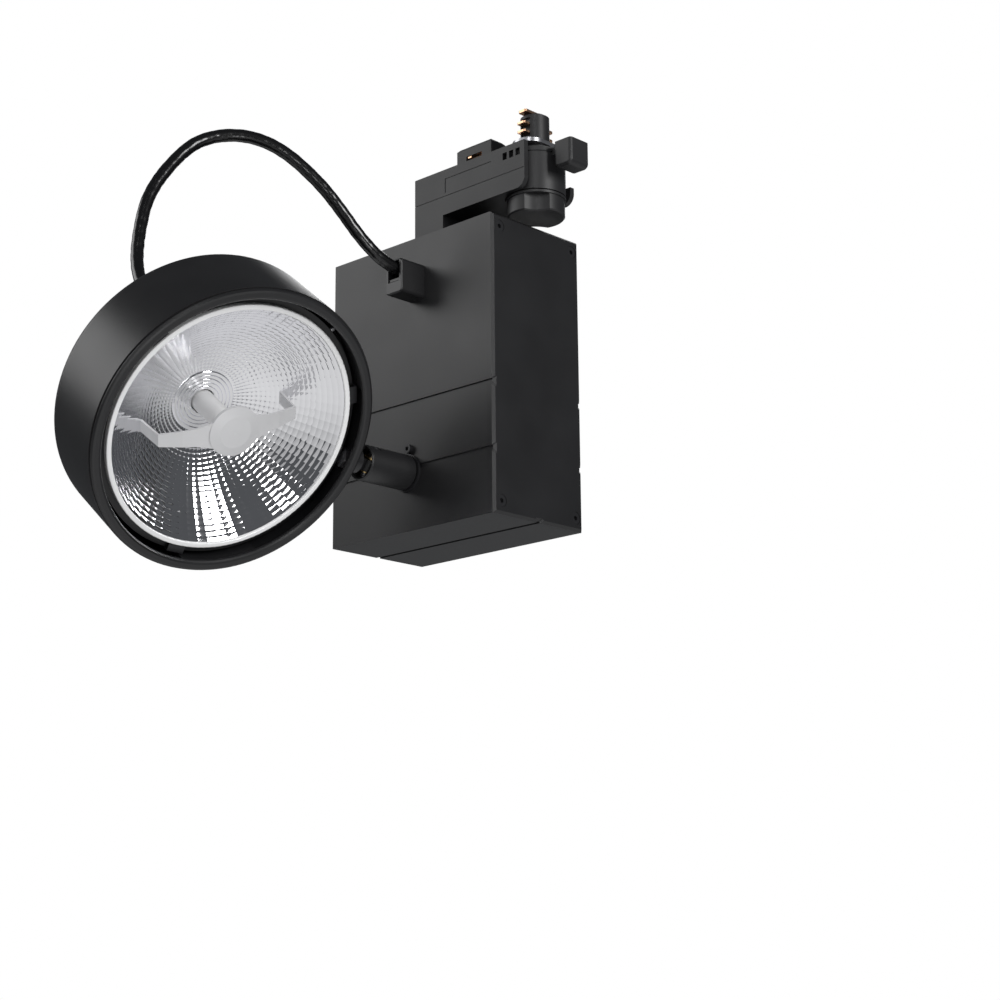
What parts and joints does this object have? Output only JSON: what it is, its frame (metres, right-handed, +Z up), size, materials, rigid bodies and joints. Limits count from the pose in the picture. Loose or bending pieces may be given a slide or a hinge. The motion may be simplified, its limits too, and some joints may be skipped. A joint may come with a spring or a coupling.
{
  "type": "track spotlight",
  "caption": "Track spotlight with a round reflector-lamp head on a short swivel arm beside a flat gear box, hung from a three-circuit track adaptor, with a looped lead.",
  "frame": {"origin": "middle of the adaptor's shoulder, over the foot, where the adaptor meets the underside of the track", "axes": "+Z up, X along the track with the locking lever towards +X, -Y from the gear box towards the lamp head"},
  "size_m": [0.1554, 0.22, 0.2156],
  "materials": {
    "black_anodised": "satin black, fine grain",
    "black_paint": "satin black powder coat",
    "black_plastic": "moulded, fine matt",
    "gland_plastic": "moulded nylon",
    "steel": "zinc plated",
    "black_steel": "black oxide",
    "brass": "plain",
    "copper_contact": "copper alloy spring",
    "lamp_reflector": "vapour-coated aluminium",
    "lamp_rim": "white lacquer",
    "glare_cap": "matt light grey",
    "quartz": "clear quartz",
    "ceramic": "unglazed ceramic",
    "cord_sleeve": "glossy black sleeve",
    "wire": "insulated wire",
    "transformer": "grey moulded case"
  },
  "bodies": {
    "gear_box": {"gearbox_profile": "black_anodised", "end_cap_left": "black_paint", "end_cap_right": "black_paint", "end_cap_screws": "black_steel", "transformer_bracket": "steel", "transformer_case": "transformer", "transformer_lid": "black_plastic", "transformer_screws": "steel", "terminal_block": "gland_plastic", "terminal_screws": "brass", "supply_wires": "wire", "cord_gland_body": "gland_plastic", "cord_gland_clamp": "gland_plastic", "cord_gland_nipple": "gland_plastic", "cord_gland_nut": "gland_plastic", "adaptor_body": "black_plastic", "adaptor_cover": "black_plastic", "adaptor_screws": "steel", "earth_tower": "black_plastic", "earth_contacts": "copper_contact", "adaptor_nipple": "steel", "adaptor_nipple_nuts": "steel", "arm_bushing": "black_steel", "stop_pin": "black_steel", "cord_box_side": "cord_sleeve"},
    "lever": {"locking_lever": "black_plastic", "contact_tower": "black_plastic", "locking_cam": "steel", "neutral_contacts": "copper_contact", "side_contacts": "copper_contact"},
    "selector": {"phase_selector": "black_plastic", "selector_spindle": "black_plastic", "phase_contact": "copper_contact"},
    "arm": {"arm_tube": "black_anodised", "swivel_spindle": "steel", "stop_washer": "steel", "spring_washer": "steel", "swivel_nut": "steel", "knuckle_pin": "steel", "knuckle_washers": "brass"},
    "head": {"knuckle_tongue": "black_steel", "tongue_nut": "steel", "drum_housing": "black_paint", "rear_cap": "black_paint", "rear_cap_screws": "black_steel", "cord_grommet": "black_plastic", "bayonet_studs": "steel", "lamp_cradle": "black_paint", "lamp_springs": "black_steel", "lamp_holder": "ceramic", "holder_strap": "steel", "lamp_wires": "wire", "lamp_rim": "lamp_rim", "lamp_reflector": "lamp_reflector", "lamp_neck": "ceramic", "lamp_blades": "steel", "lamp_capsule": "quartz", "glare_cap": "glare_cap", "cord_head_side": "cord_sleeve"},
    "ring": {"front_ring": "black_paint"}
  },
  "joints": [
    {"name": "arm_swivel", "type": "hinge", "parent": "gear_box", "child": "arm", "pos_m": [-0.0017, -0.0285, -0.1447], "axis": [0, 1, 0], "range_deg": [-37.8, 52.2], "deforming": ["cord_box_side"]},
    {"name": "head_tilt", "type": "hinge", "parent": "arm", "child": "head", "pos_m": [-0.0017, -0.0515, -0.1447], "axis": [0.6129, 0, 0.7902], "range_deg": [-16.1, 23.9], "deforming": ["cord_head_side"]},
    {"name": "ring_turn", "type": "hinge", "parent": "head", "child": "ring", "pos_m": [-0.00576, -0.12683, -0.14155], "axis": [0.7883, -0.068, -0.6115], "range_deg": [0, 20]},
    {"name": "lever_turn", "type": "hinge", "parent": "gear_box", "child": "lever", "pos_m": [0.0522, 0, -0.01], "axis": [0, 0, 1], "range_deg": [0, 90]},
    {"name": "selector_turn", "type": "hinge", "parent": "lever", "child": "selector", "pos_m": [0.0522, 0, -0.026], "axis": [0, 0, 1], "range_deg": [0, 180]}
  ]
}
